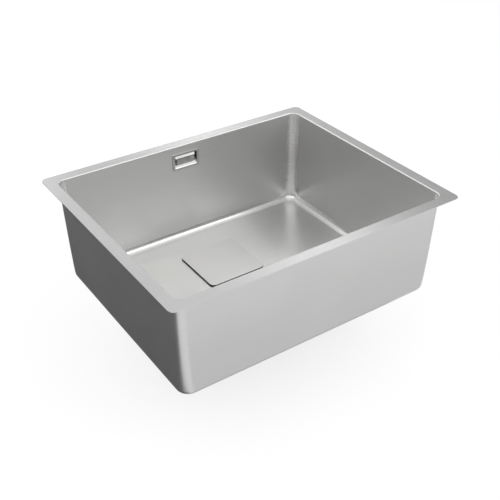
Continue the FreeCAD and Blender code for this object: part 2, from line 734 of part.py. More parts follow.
def hose_nut():
    lip_z = hose_seal_thickness + hose_collar_thickness + nut_clearance
    top_z = lip_z + nut_lip
    nut = rod(nut_radius, top_z - nut_length, top_z)
    flute = rod(nut_flute_radius, top_z - nut_length - over, lip_z - over,
                x=nut_radius + nut_flute_radius / 2)
    nut = nut.cut(around(flute, nut_flute_count))
    room = rod(spigot_radius + nut_clearance, top_z - nut_length - over, lip_z)
    return nut.cut([room, rod(hose_root_radius + nut_clearance, lip_z - over, top_z + over)])


def hose_seal():
    return ring(hose_bore, hose_collar_radius, 0, hose_seal_thickness)


def upper_fitting():
    """Place of the housing's spigot face, with +Z out of the spigot."""
    face = FreeCAD.Placement(vec(0, spigot_setback, -housing_half_z - spigot_length),
                             FreeCAD.Rotation(vec(1, 0, 0), 180))
    return wall_place().multiply(face)


def lower_fitting():
    """Place of the waste body's spigot face, with +Z out of the spigot."""
    face_y = drain_offset + body_outer_radius + inlet_length
    return FreeCAD.Placement(vec(0, face_y, inlet_z), FreeCAD.Rotation(vec(1, 0, 0), -90))


class HoseRoute:
    """Straight run down behind the wall, one arc as large as the room allows, straight run to the waste."""

    def __init__(self):
        self.start = upper_fitting().multVec(vec(0, 0, hose_seal_thickness))
        self.end = lower_fitting().multVec(vec(0, 0, hose_seal_thickness))
        self.down = (upper_fitting().multVec(vec(0, 0, 1)) - upper_fitting().multVec(centre)).normalize()
        self.inward = vec(0, -1, 0)
        corner = self.start + self.down * ((self.end.z - self.start.z) / self.down.z)
        turn = self.down.getAngle(self.inward)
        reach = min((corner - self.start).Length, (corner - self.end).Length) - hose_straight
        self.radius = reach / math.tan(turn / 2)
        self.arc_start = corner - self.down * reach
        self.arc_end = corner + self.inward * reach
        self.middle = self.arc_start + self.down.cross(self.inward).cross(self.down).normalize() * self.radius
        self.first_run = (self.arc_start - self.start).Length
        self.arc_run = self.radius * turn
        self.length = self.first_run + self.arc_run + (self.end - self.arc_end).Length

    def at(self, run):
        """Point and direction of the route a given length along it."""
        if run <= self.first_run:
            return self.start + self.down * run, self.down
        if run >= self.first_run + self.arc_run:
            return self.arc_end + self.inward * (run - self.first_run - self.arc_run), self.inward
        swing = (run - self.first_run) / self.radius
        outward = (self.arc_start - self.middle).normalize()
        spoke = outward * math.cos(swing) + self.down * math.sin(swing)
        return self.middle + spoke * self.radius, self.down * math.cos(swing) - outward * math.sin(swing)

    def circle(self, run, radius):
        """Circle square to the route, with its own X axis always along the object's X."""
        point, direction = self.at(run)
        hoop = Part.Wire(Part.makeCircle(radius))
        turn = FreeCAD.Rotation(vec(1, 0, 0), vec(0, 0, 0), direction, "XZY")
        hoop.Placement = FreeCAD.Placement(point, turn)
        return hoop

    def pipe(self, radius, over):
        """Plain round solid along the whole route, longer by over at both ends."""
        arc_middle, _ = self.at(self.first_run + self.arc_run / 2)
        path = Part.Wire([
            Part.LineSegment(self.start - self.down * over, self.arc_start).toShape(),
            Part.Arc(self.arc_start, arc_middle, self.arc_end).toShape(),
            Part.LineSegment(self.arc_end, self.end + self.inward * over).toShape()])
        return path.makePipeShell([self.circle(-over, radius)], True, False)


def overflow_hose():
    route = HoseRoute()
    count = int((route.length - 2 * hose_straight) / rib_pitch)
    first = (route.length - count * rib_pitch + (rib_pitch - rib_crest - 2 * rib_flank)) / 2
    stations = [(0.0, hose_root_radius)]
    for rib in range(count):
        foot = first + rib * rib_pitch
        stations += [(foot, hose_root_radius), (foot + rib_flank, hose_crest_radius),
                     (foot + rib_flank + rib_crest, hose_crest_radius),
                     (foot + 2 * rib_flank + rib_crest, hose_root_radius)]
    stations.append((route.length, hose_root_radius))
    skin = Part.makeLoft([route.circle(run, radius) for run, radius in stations], True, True)
    collars = []
    for fitting in (upper_fitting(), lower_fitting()):
        collar = rod(hose_collar_radius, hose_seal_thickness, hose_seal_thickness + hose_collar_thickness)
        collars.append(placed(collar, fitting))
    hose = skin.fuse(collars).cut(route.pipe(hose_bore, over))
    print("hose: length", round(route.length, 1), "arc radius", round(route.radius, 1), "ribs", count,
          "volume", round(hose.Volume))
    return hose


pieces = {
    "bowl": bowl,
    "sound_pad": sound_pad,
    "waste_flange": waste_flange,
    "waste_top_seal": waste_top_seal,
    "waste_lower_seal": waste_lower_seal,
    "waste_body": waste_body,
    "waste_insert": waste_insert,
    "waste_screw": waste_screw,
    "basket": basket,
    "basket_stem": basket_stem,
    "basket_knob": basket_knob,
    "basket_seal": basket_seal,
    "basket_nut": basket_nut,
    "waste_cover": waste_cover,
    "cover_ring": cover_ring,
    "cover_feet": cover_feet,
    "overflow_rosette": overflow_rosette,
    "overflow_plate": overflow_plate,
    "overflow_screws": overflow_screws,
    "overflow_gasket": overflow_gasket,
    "overflow_housing": overflow_housing,
    "overflow_hose": overflow_hose,
    "upper_hose_nut": lambda: placed(hose_nut(), upper_fitting()),
    "lower_hose_nut": lambda: placed(hose_nut(), lower_fitting()),
    "upper_hose_seal": lambda: placed(hose_seal(), upper_fitting()),
    "lower_hose_seal": lambda: placed(hose_seal(), lower_fitting()),
}

os.makedirs("parts", exist_ok=True)
for name, make in pieces.items():
    shape = make()
    print(name, "solids", len(shape.Solids), "valid", shape.isValid(), "volume", round(shape.Volume, 1))
    shape.exportStep("parts/" + name + ".step")
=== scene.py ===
import math

import bmesh
import bpy
from mathutils import Matrix, Vector


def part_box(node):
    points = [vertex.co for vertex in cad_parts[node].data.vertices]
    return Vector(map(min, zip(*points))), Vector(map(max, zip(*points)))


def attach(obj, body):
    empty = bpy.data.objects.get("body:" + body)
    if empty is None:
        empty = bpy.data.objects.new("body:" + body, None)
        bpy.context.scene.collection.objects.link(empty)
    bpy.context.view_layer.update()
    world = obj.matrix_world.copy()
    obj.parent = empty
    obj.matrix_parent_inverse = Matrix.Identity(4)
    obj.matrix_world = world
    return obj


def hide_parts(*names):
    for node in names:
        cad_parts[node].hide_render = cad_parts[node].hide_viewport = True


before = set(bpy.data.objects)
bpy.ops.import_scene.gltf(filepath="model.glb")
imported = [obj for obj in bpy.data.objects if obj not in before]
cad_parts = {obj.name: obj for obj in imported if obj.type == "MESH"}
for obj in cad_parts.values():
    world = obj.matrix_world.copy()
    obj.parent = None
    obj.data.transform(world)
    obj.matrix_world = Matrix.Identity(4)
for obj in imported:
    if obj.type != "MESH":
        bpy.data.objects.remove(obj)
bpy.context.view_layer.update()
collection = bpy.context.scene.collection

mm = 0.001  # pieces are sized in millimetres, and the stage in metres
tiny = 1e-7  # metres, and points nearer than this are one


def pointAt(thing, place, aim, unit=1.0):  # turns the camera or a lamp
    thing.location = Vector(place) * unit
    thing.rotation_mode = "QUATERNION"
    thing.rotation_quaternion = (Vector(aim) - Vector(place)).to_track_quat("-Z", "Y")


# Camera, at the photograph's viewing angle

shot = {"place": (-657.0, -967.9, 657.4), "aim": (120.93, 166.26, -258.76), "lens": 58.35, "sensor": 36,
        "clip": (0.02, 30)}

cameraData = bpy.data.cameras.new("camera")
cameraData.sensor_width = shot["sensor"]
cameraData.lens = shot["lens"]
cameraData.clip_start, cameraData.clip_end = shot["clip"]
camera = bpy.data.objects.new("camera", cameraData)
collection.objects.link(camera)
pointAt(camera, shot["place"], shot["aim"], mm)
bpy.context.scene.camera = camera
bpy.context.scene.view_settings.view_transform = "Standard"
print("camera placed")


# Materials

class Wire:  # a socket that can be used in sums
    def __init__(self, tree, socket):
        self.tree = tree
        self.socket = socket

    def maths(self, operation, first, second):
        step = self.tree.nodes.new("ShaderNodeMath")
        step.operation = operation
        for slot, value in zip(step.inputs, (first, second)):
            plug(self.tree, slot, value)
        return Wire(self.tree, step.outputs[0])

    def __add__(self, other):
        return self.maths("ADD", self, other)

    def __radd__(self, other):
        return self.maths("ADD", other, self)

    def __sub__(self, other):
        return self.maths("SUBTRACT", self, other)

    def __rsub__(self, other):
        return self.maths("SUBTRACT", other, self)

    def __mul__(self, other):
        return self.maths("MULTIPLY", self, other)

    def __rmul__(self, other):
        return self.maths("MULTIPLY", other, self)

    def magnitude(self):
        return self.maths("ABSOLUTE", self, 0)

    def atLeast(self, floor):
        return self.maths("MAXIMUM", self, floor)

    def root(self):
        return self.maths("SQRT", self, 0)

    def above(self, limit):  # 1 where it is, 0 elsewhere
        return self.maths("GREATER_THAN", self, limit)

    def node(self, kind, settings=None, output=0, **sockets):
        return addNode(self.tree, kind, settings, output, **sockets)


def plug(tree, slot, value):
    if isinstance(value, Wire):
        tree.links.new(value.socket, slot)
    else:
        slot.default_value = value


def addNode(tree, kind, settings=None, output=0, **sockets):  # settings go in first, then the sockets
    made = tree.nodes.new("ShaderNode" + kind)
    for key, value in (settings or {}).items():
        if key == "stops":
            setStops(made.color_ramp, value)
        else:
            setattr(made, key, value)
    for key, value in sockets.items():
        wanted = key.replace("_", " ").lower()
        slot = next(s for s in made.inputs if s.enabled and s.name.lower() == wanted)
        plug(tree, slot, value)
    return Wire(tree, made.outputs[output])


def setStops(ramp, stops):
    while len(ramp.elements) < len(stops):
        ramp.elements.new(1.0)
    for element, (position, colour) in zip(ramp.elements, stops):
        element.position = position
        element.color = (*colour, 1.0)


def emptyMaterial(name):
    material = bpy.data.materials.new(name)
    material.use_nodes = True
    material.node_tree.nodes.clear()
    return material


def newMaterial(name):  # gives the material and its Object coordinates
    material = emptyMaterial(name)
    return material, addNode(material.node_tree, "TexCoord", output=3)


def finishMaterial(material, shader):
    tree = material.node_tree
    tree.links.new(shader.socket, tree.nodes.new("ShaderNodeOutputMaterial").inputs["Surface"])
    return material


rampStops = (0.32, 0.68)  # the noises lie mostly between these


def shades(colour, spread):  # a darker and a lighter stop of one colour
    darker, lighter = (tuple(level * share for level in colour) for share in (1 - spread, 1 + spread))
    return list(zip(rampStops, (darker, lighter)))


def swing(noise, amount):  # a noise about its middle, added to a roughness
    return (noise - 0.5) * amount


def addPaintedLight(where, paint, place, shade):  # paints light or shade onto a colour: place is a function that gives 1 where it goes
    return where.node("Mix", {"data_type": "RGBA"}, 2, Factor=place(where), A=paint, B=(*shade, 1.0))


# Brushed sheet: grain is noise per metre along X, Y and Z, and the brush lines lie along the low ones

grain = {"level": (9, 9, 2600), "lengthways": (9, 2600, 9), "crossways": (2600, 9, 9)}
brush = {"spread": 0.055, "lineShare": 0.75, "lineRoughness": 0.10, "patchRoughness": 0.04,
         "depth": 0.00012}


def steel(name, colour, roughness, run, lines=0.35, anisotropy=0.0, paintedLight=None):
    material, where = newMaterial(name)
    brushed = where.node("Mapping", Vector=where, Scale=grain[run])
    hair = where.node("TexNoise", Vector=brushed, Scale=1.0, Detail=4.0, Roughness=0.65)
    patch = where.node("TexNoise", Vector=where, Scale=9.0, Detail=2.0, Roughness=0.5)
    smear = where.node("TexNoise", Vector=where, Scale=46.0, Detail=3.0, Roughness=0.55)
    level = hair * brush["lineShare"] + patch * (1 - brush["lineShare"])
    paint = where.node("ValToRGB", {"stops": shades(colour, brush["spread"])}, Fac=level)
    # a painted light or shade, where one is given, goes over the grain
    if paintedLight:
        paint = addPaintedLight(where, paint, *paintedLight)
    rough = (roughness + swing(hair, brush["lineRoughness"]) + swing(patch, brush["patchRoughness"])
             + swing(smear, brush["patchRoughness"]))
    bump = where.node("Bump", Strength=lines, Distance=brush["depth"], Height=hair)
    shader = where.node("BsdfPrincipled", Base_Color=paint, Metallic=1.0, Roughness=rough, Normal=bump,
                        Anisotropic=anisotropy, Anisotropic_Rotation=0.25)
    return finishMaterial(material, shader)


# Small pressed pieces: bright sheet with no brush lines

pressing = {"speckShare": 0.5, "patchRoughness": 0.10, "speckRoughness": 0.06, "bump": 0.12,
            "depth": 0.0001}


def pressedSteel(name, colour, roughness, spread=0.05, paintedLight=None):
    material, where = newMaterial(name)
    speck = where.node("TexNoise", Vector=where, Scale=900.0, Detail=3.0, Roughness=0.6)
    patch = where.node("TexNoise", Vector=where, Scale=60.0, Detail=3.0, Roughness=0.5)
    level = speck * pressing["speckShare"] + patch * (1 - pressing["speckShare"])
    paint = where.node("ValToRGB", {"stops": shades(colour, spread)}, Fac=level)
    # a painted light or shade, where one is given, goes over the speckle
    if paintedLight:
        paint = addPaintedLight(where, paint, *paintedLight)
    rough = roughness + swing(patch, pressing["patchRoughness"]) + swing(speck, pressing["speckRoughness"])
    bump = where.node("Bump", Strength=pressing["bump"], Distance=pressing["depth"], Height=speck)
    shader = where.node("BsdfPrincipled", Base_Color=paint, Metallic=1.0, Roughness=rough, Normal=bump)
    return finishMaterial(material, shader)


# Moulded plastic and rubber

mould = {"grainShare": 0.35, "grainRoughness": 0.14, "flowRoughness": 0.08, "depth": 0.0002}


def moulded(name, colour, roughness, texture, spread):
    material, where = newMaterial(name)
    grainy = where.node("TexNoise", Vector=where, Scale=1500.0, Detail=3.0, Roughness=0.6)
    flow = where.node("TexNoise", Vector=where, Scale=22.0, Detail=3.0, Roughness=0.5, Distortion=0.6)
    level = grainy * mould["grainShare"] + flow * (1 - mould["grainShare"])
    paint = where.node("ValToRGB", {"stops": shades(colour, spread)}, Fac=level)
    rough = roughness + swing(grainy, mould["grainRoughness"]) + swing(flow, mould["flowRoughness"])
    bump = where.node("Bump", Strength=texture, Distance=mould["depth"], Height=grainy)
    shader = where.node("BsdfPrincipled", Base_Color=paint, Roughness=rough, Normal=bump)
    return finishMaterial(material, shader)


# Damping pad: pressed fibre and rubber, with flecks

felt = {"spread": 0.25, "fleckShare": 0.5, "fibreShare": 0.6, "roughness": 0.75, "fibreRoughness": 0.3,
        "bump": 0.5, "depth": 0.0006}


def dampingSheet(name, colour):
    material, where = newMaterial(name)
    fleck = where.node("TexVoronoi", {"feature": "F1"}, Vector=where, Scale=420.0)
    fibre = where.node("TexNoise", Vector=where, Scale=240.0, Detail=5.0, Roughness=0.7)
    level = fleck * felt["fleckShare"] + fibre * felt["fibreShare"]
    paint = where.node("ValToRGB", {"stops": shades(colour, felt["spread"])}, Fac=level)
    rough = felt["roughness"] + swing(fibre, felt["fibreRoughness"])
    bump = where.node("Bump", Strength=felt["bump"], Distance=felt["depth"], Height=fibre)
    shader = where.node("BsdfPrincipled", Base_Color=paint, Roughness=rough, Normal=bump)
    return finishMaterial(material, shader)


# Places where light or shade is painted onto a finish

coverEdge = {"half": 57.0, "corner": 10.0, "y": 81.0, "top": -191.0, "skipTop": 0.12, "reach": 0.35}
bendHighlightSpan = {"from": -110.0, "to": -15.0, "stop": -2.8}  # heights where the painted highlight begins, is full and ends
inletShade = {"y": 199.4}


def along(where, axis):  # one of the three numbers of a vector
    return where.node("SeparateXYZ", output="XYZ".index(axis), Vector=where)


def coverOutline(where):  # distance out from the waste cover's sides, in metres
    straight = (coverEdge["half"] - coverEdge["corner"]) * mm
    overX = (along(where, "X").magnitude() - straight).atLeast(0)
    overY = ((along(where, "Y") - coverEdge["y"] * mm).magnitude() - straight).atLeast(0)
    return (overX * overX + overY * overY).root() - coverEdge["corner"] * mm


def cutEdgeShade(where):  # painted shade: the waste cover's cut edge is near black, standing in for the shadow in the gap beneath it
    atSide = coverOutline(where).above(-coverEdge["reach"] * mm)
    return (1 - along(where, "Z").above((coverEdge["top"] - coverEdge["skipTop"]) * mm)) * atSide


def paintedMouthHighlight(where):  # painted highlight: the upright bends lighten towards the mouth, standing in for a bright reflection there
    height = along(where, "Z")
    rise = where.node("MapRange", {"interpolation_type": "SMOOTHSTEP"}, Value=height,
                      From_Min=bendHighlightSpan["from"] * mm, From_Max=bendHighlightSpan["to"] * mm)
    return rise * (1 - height.above(bendHighlightSpan["stop"] * mm))


def inletRecessShade(where):  # painted shade: the overflow inlet's recess is darker than its frame, where shade falls
    return along(where, "Y").above(inletShade["y"] * mm)


# The bowl's region tones are one steel in lit and shaded copies, painted light and shade: the side walls
# darker than the rear and front walls, the rims darker, the bends lighter. The bends' top tone is a painted
# highlight; the cover's edge tone and the inlet's recess tone are painted shade.
tone = {
    "wall": (0.660, 0.659, 0.653), "shadedSideWall": (0.575, 0.574, 0.568), "floor": (0.630, 0.629, 0.620),
    "rim": (0.51, 0.51, 0.51), "outer": (0.595, 0.595, 0.593),
    "bend": (0.68, 0.679, 0.674), "bendHighlight": (0.97, 0.97, 0.965),
    "cover": (0.605, 0.603, 0.597), "coverEdge": (0.012, 0.012, 0.013),
    "rosette": (0.58, 0.58, 0.577), "recess": (0.41, 0.41, 0.407),
    "plate": (0.60, 0.60, 0.60), "scoop": (0.43, 0.43, 0.427),
    "cup": (0.62, 0.62, 0.62), "fastener": (0.56, 0.56, 0.56), "brass": (0.74, 0.55, 0.24),
    "seal": (0.030, 0.030, 0.031), "pad": (0.085, 0.085, 0.090),
    "body": (0.72, 0.72, 0.70), "nut": (0.045, 0.045, 0.050), "hose": (0.62, 0.62, 0.61),
}
wallSteel = steel("wallSteel", tone["wall"], 0.36, "level", anisotropy=0.6)
shadedSideWallSteel = steel("shadedSideWallSteel", tone["shadedSideWall"], 0.36, "level", anisotropy=0.6)
floorSteel = steel("floorSteel", tone["floor"], 0.32, "lengthways")
rimLongSteel = steel("rimLongSteel", tone["rim"], 0.30, "lengthways")
rimSideSteel = steel("rimSideSteel", tone["rim"], 0.30, "crossways")
bendSteel = steel("bendSteel", tone["bend"], 0.27, "level", lines=0.2, paintedLight=(paintedMouthHighlight, tone["bendHighlight"]))
outerSteel = steel("outerSteel", tone["outer"], 0.36, "level", anisotropy=0.4)
coverSteel = steel("coverSteel", tone["cover"], 0.32, "lengthways", lines=0.25,
                   paintedLight=(cutEdgeShade, tone["coverEdge"]))
cupSteel = pressedSteel("cupSteel", tone["cup"], 0.24)
rosetteSteel = pressedSteel("rosetteSteel", tone["rosette"], 0.34, spread=0.14,
                            paintedLight=(inletRecessShade, tone["recess"]))
plateSteel = pressedSteel("plateSteel", tone["plate"], 0.36, spread=0.30)
scoopSteel = pressedSteel("scoopSteel", tone["scoop"], 0.30, spread=0.20)
fastenerSteel = pressedSteel("fastenerSteel", tone["fastener"], 0.30)
insertBrass = pressedSteel("insertBrass", tone["brass"], 0.28)
sealRubber = moulded("sealRubber", tone["seal"], 0.62, texture=0.2, spread=0.3)
padRubber = dampingSheet("padRubber", tone["pad"])
bodyPlastic = moulded("bodyPlastic", tone["body"], 0.42, texture=0.10, spread=0.03)
nutPlastic = moulded("nutPlastic", tone["nut"], 0.45, texture=0.15, spread=0.2)
hosePlastic = moulded("hosePlastic", tone["hose"], 0.46, texture=0.08, spread=0.05)
print("materials made")


# Stage: a pale ground and sky, cards that only gloss sees, and soft lamps

white = (1, 1, 1, 1)
studio = {"groundSize": (14, 14), "groundZ": -0.3005, "groundColour": (0.34, 0.34, 0.34),
          "groundGlow": 0.75, "skySeen": 1.0, "skyLight": 0.62}
cardZ = studio["groundZ"] + 0.001  # a card that lies on the ground
# nearCard and underCard are dimmer strips on the ground, painted shadow beside and under the bowl that only
# reflections see
cards = {  # glow is an even grey, and matt takes the lamps' light
    "leftCard": {"size": (1.0, 1.8), "place": (-0.75, 0.65, cardZ), "matt": (0.15, 0.15, 0.157)},
    "rightCard": {"size": (1.2, 1.9), "place": (2.05, 1.5, 1.0), "glow": 0.32},
    "nearCard": {"size": (1.5, 0.24), "place": (0.55, -0.33, cardZ), "glow": 0.80},
    "underCard": {"size": (0.5, 0.4), "place": (0.0, 0.0, cardZ), "glow": 0.42},
}
sinkMiddle = (0.0, 0.0, -0.15)
lamps = {
    "frontLamp": {"place": (0.85, -1.55, 1.05), "aim": sinkMiddle, "size": (1.65, 1.4), "power": 9.2},
    "cameraLamp": {"place": (-1.05, -1.35, 1.05), "aim": sinkMiddle, "size": (1.2, 1.0), "power": 2.8},
    "stripLamp": {"place": (0.98, 1.45, 1.0), "aim": (0.98, 1.45, 0.0), "size": (0.16, 1.6), "power": 2.5},
    "rearLeftLamp": {"place": (-1.0, 1.45, 1.15), "aim": sinkMiddle, "size": (1.0, 0.8), "power": 2.4},
    "rearLamp": {"place": (-0.1, 1.9, 1.0), "aim": sinkMiddle, "size": (0.7, 0.8), "power": 1.3},
    "leftLamp": {"place": (-1.8, -0.1, 1.1), "aim": sinkMiddle, "size": (1.0, 1.0), "power": 3.0},
}


def seenRays(tree):  # 1 where the camera, a gloss or a clear surface looks
    light = tree.nodes.new("ShaderNodeLightPath")
    direct, glossy, clear = (Wire(tree, light.outputs[name]) for name in
                             ("Is Camera Ray", "Is Glossy Ray", "Is Transmission Ray"))
    return direct.atLeast(glossy).atLeast(clear)


def groundMaterial(name, colour, extra):  # extra is seen and lights nothing, so the shadow stays
    material = emptyMaterial(name)
    tree = material.node_tree
    matt = addNode(tree, "BsdfDiffuse", Color=(*colour, 1.0))
    glow = addNode(tree, "Emission", Color=white, Strength=seenRays(tree) * extra)
    joined = tree.nodes.new("ShaderNodeAddShader")
    plug(tree, joined.inputs[0], matt)
    plug(tree, joined.inputs[1], glow)
    return finishMaterial(material, Wire(tree, joined.outputs[0]))


def flatPanel(name, size, place, material):
    mesh = bpy.data.meshes.new(name)
    bm = bmesh.new()
    bmesh.ops.create_grid(bm, x_segments=1, y_segments=1, size=0.5,
                          matrix=Matrix.Diagonal((*size, 1.0, 1.0)))
    bm.to_mesh(mesh)
    bm.free()
    mesh.materials.append(material)
    panel = bpy.data.objects.new(name, mesh)
    collection.objects.link(panel)
    panel.location = place
    return panel


def addCard(name, card):
    material = emptyMaterial(name)
    if "matt" in card:
        shader = addNode(material.node_tree, "BsdfDiffuse", Color=(*card["matt"], 1.0))
    else:
        shader = addNode(material.node_tree, "Emission", Color=white, Strength=card["glow"])
    panel = flatPanel(name, card["size"], card["place"], finishMaterial(material, shader))
    panel.visible_camera = False
    panel.visible_diffuse = False
    panel.visible_shadow = False


def addSky():
    world = bpy.data.worlds.new("world")
    bpy.context.scene.world = world
    world.use_nodes = True
    tree = world.node_tree
    tree.nodes.clear()
    level = studio["skyLight"] + seenRays(tree) * (studio["skySeen"] - studio["skyLight"])
    sky = addNode(tree, "Background", Color=white, Strength=level)
    tree.links.new(sky.socket, tree.nodes.new("ShaderNodeOutputWorld").inputs["Surface"])


def addLamp(name, lamp):
    light = bpy.data.lights.new(name, "AREA")
    light.shape = "RECTANGLE"
    light.size, light.size_y = lamp["size"]
    light.energy = lamp["power"]
    holder = bpy.data.objects.new(name, light)
    collection.objects.link(holder)
    pointAt(holder, lamp["place"], lamp["aim"])
    holder.visible_camera = False


ground = groundMaterial("ground", studio["groundColour"], studio["groundGlow"])
flatPanel("ground", studio["groundSize"], (0, 0, studio["groundZ"]), ground)
for name, card in cards.items():
    addCard(name, card)
addSky()
for name, lamp in lamps.items():
    addLamp(name, lamp)
print("stage set, lamps", len(lamps), "cards", len(cards))


# Making pieces

def addPiece(name, bm, materials, body, replaced=(), sharp=35.0):
    mesh = bpy.data.meshes.new(name)
    bm.to_mesh(mesh)
    bm.free()
    piece = bpy.data.objects.new(name, mesh)
    collection.objects.link(piece)
    for material in materials:
        mesh.materials.append(material)
    for face in mesh.polygons:
        face.use_smooth = True
    mesh.set_sharp_from_angle(angle=math.radians(sharp))
    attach(piece, body)
    if replaced:
        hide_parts(*replaced)
    return piece


def bakeModifiers(piece):  # the modified mesh becomes the piece's own
    graph = bpy.context.evaluated_depsgraph_get()
    graph.update()
    shaped = piece.evaluated_get(graph)
    baked = bpy.data.meshes.new_from_object(shaped, preserve_all_data_layers=True, depsgraph=graph)
    piece.modifiers.clear()
    piece.data = baked


def bridge(bm, first, second):
    bmesh.ops.bridge_loops(bm, edges=first + second)


def roundEdges(bm, edges, size, steps):
    bmesh.ops.bevel(bm, geom=edges, offset=size * mm, offset_type="OFFSET", segments=steps, profile=0.5,
                    affect="EDGES", material=-1)


# Bowl: one pressed sheet, drawn as its inner skin and then given its thickness

bowl = {
    "rimHalf": (270, 220), "rimCorner": 10,
    "mouthHalf": (250, 200), "mouthCorner": 15.5, "mouthBend": 2.0, "mouthSteps": 4,
    "wallLean": 4.2, "wallDepth": 189.0,
    "cornerByDepth": [(60, 15.7), (120, 16.6), (160, 18.6), (189, 22.0)],
    "floorRound": 13.0, "floorSteps": 8, "floorStrip": 2.0,
    "drainY": 81.0, "drainZ": -194.0, "levelHalf": 61.0, "levelCorner": 22.0,
    "recessRadius": 57.5, "recessZ": -198.0, "recessRound": 1.5, "recessSteps": 3,
    "lipStrip": 2.0, "lipRound": 0.7, "lipSteps": 2, "holeRadius": 45.0, "sheet": 1.0, "sheetSharp": 40.0,
    "overflowHalf": (25.0, 14.2), "overflowZ": -32.0, "rearWallY": 194.0,
    "cornerSteps": 9, "longCuts": 9, "shortCuts": 7,
}
region = {  # how the bowl's faces are told apart: parts of a unit normal, and heights
    "levelNormal": 0.95, "rimZ": -1.5, "floorZ": -186.0, "bentNormal": 0.02, "leaningNormal": 0.1,
    "wallLevel": 0.2, "wallFacing": 0.9,
}


def outline(bm, half, corner, z, middleY=0.0):  # rounded rectangle of edges, level at z
    earlier = set(bm.edges)
    place = Matrix.Translation((0, middleY * mm, z * mm))
    stretch = Matrix.Diagonal((half[0] * mm, half[1] * mm, 1, 1))
    grid = bmesh.ops.create_grid(bm, x_segments=1, y_segments=1, size=1.0, matrix=place @ stretch)
    bmesh.ops.bevel(bm, geom=grid["verts"], offset=corner * mm, offset_type="OFFSET",
                    segments=bowl["cornerSteps"], profile=0.5, affect="VERTICES", material=-1)
    bmesh.ops.delete(bm, geom=list(bm.faces), context="FACES_ONLY")
    straight = sorted(set(bm.edges) - earlier, key=lambda edge: -edge.calc_length())[:4]
    longSides, shortSides = [], []
    for edge in straight:
        run = edge.verts[1].co - edge.verts[0].co
        (longSides if abs(run.x) > abs(run.y) else shortSides).append(edge)
    bmesh.ops.subdivide_edges(bm, edges=longSides, cuts=bowl["longCuts"])
    bmesh.ops.subdivide_edges(bm, edges=shortSides, cuts=bowl["shortCuts"])
    return [edge for edge in bm.edges if edge not in earlier]


def ringInside(bm, edges, radius, z):  # a circle about the drain, with a vertex for each outside it
    swept = bmesh.ops.extrude_edge_only(bm, edges=edges)["geom"]
    verts = {item for item in swept if isinstance(item, bmesh.types.BMVert)}
    drain = Vector((0, bowl["drainY"] * mm, z * mm))
    for vert in verts:
        vert.co.z = drain.z
        vert.co = drain + (vert.co - drain).normalized() * radius * mm
    return [item for item in swept if isinstance(item, bmesh.types.BMEdge) and verts.issuperset(item.verts)]


def wallHalf(depth, inset=0.0):
    lean = bowl["wallLean"] * depth / bowl["wallDepth"] + inset
    return bowl["mouthHalf"][0] - lean, bowl["mouthHalf"][1] - lean


def makeBowl():
    bm = bmesh.new()
    rim = outline(bm, bowl["rimHalf"], bowl["rimCorner"], 0.0)
    mouth = outline(bm, bowl["mouthHalf"], bowl["mouthCorner"], 0.0)
    wall = [outline(bm, wallHalf(depth), corner, -depth) for depth, corner in bowl["cornerByDepth"]]
    inset = bowl["floorRound"] + bowl["floorStrip"]
    footCorner = bowl["cornerByDepth"][-1][1]
    strip = outline(bm, wallHalf(bowl["wallDepth"], inset), footCorner - inset, -bowl["wallDepth"])
    level = outline(bm, (bowl["levelHalf"], bowl["levelHalf"]), bowl["levelCorner"], bowl["drainZ"],
                    bowl["drainY"])
    loops = [rim, mouth, *wall, strip, level]
    for first, second in zip(loops, loops[1:]):
        bridge(bm, first, second)
    ledge = ringInside(bm, level, bowl["recessRadius"] + bowl["lipStrip"], bowl["drainZ"])
    lip = ringInside(bm, ledge, bowl["recessRadius"], bowl["drainZ"])
    recess = ringInside(bm, lip, bowl["recessRadius"], bowl["recessZ"])
    ringInside(bm, recess, bowl["holeRadius"], bowl["recessZ"])
    roundEdges(bm, wall[-1], bowl["floorRound"], bowl["floorSteps"])
    roundEdges(bm, mouth, bowl["mouthBend"], bowl["mouthSteps"])
    roundEdges(bm, recess, bowl["recessRound"], bowl["recessSteps"])
    roundEdges(bm, lip, bowl["lipRound"], bowl["lipSteps"])
    cutOverflow(bm)
    bmesh.ops.recalc_face_normals(bm, faces=bm.faces)
    low = [face for face in bm.faces if face.calc_center_median().z < region["floorZ"] * mm]
    if max(low, key=lambda face: face.calc_area()).normal.z < 0:  # the inside of the floor looks up
        bmesh.ops.reverse_faces(bm, faces=bm.faces)
    return bm


def cutOverflow(bm):  # the hole behind the overflow's inlet, in the rear wall
    halfX, halfZ = bowl["overflowHalf"]
    low, high = bowl["overflowZ"] - halfZ, bowl["overflowZ"] + halfZ
    for point, normal in [((-halfX, 0, 0), (1, 0, 0)), ((halfX, 0, 0), (1, 0, 0)),
                          ((0, 0, low), (0, 0, 1)), ((0, 0, high), (0, 0, 1))]:
        wall = [face for face in bm.faces if face.calc_center_median().y > bowl["rearWallY"] * mm
                and abs(face.normal.z) < region["wallLevel"] and abs(face.normal.y) > region["wallFacing"]]
        edges = {edge for face in wall for edge in face.edges}
        verts = {vert for face in wall for vert in face.verts}
        bmesh.ops.bisect_plane(bm, geom=[*wall, *edges, *verts], dist=tiny, plane_co=Vector(point) * mm,
                               plane_no=normal)
    bm.normal_update()
    hole = []
    for face in bm.faces:
        middle = face.calc_center_median() / mm
        if middle.y > bowl["rearWallY"] and abs(middle.x) < halfX and low < middle.z < high:
            hole.append(face)
    bmesh.ops.delete(bm, geom=hole, context="FACES")


bowlFinishAndShade = {"longWall": wallSteel, "floor": floorSteel, "longRim": rimLongSteel, "sideRim": rimSideSteel,
              "outside": outerSteel, "bend": bendSteel, "shadedSideWall": shadedSideWallSteel}


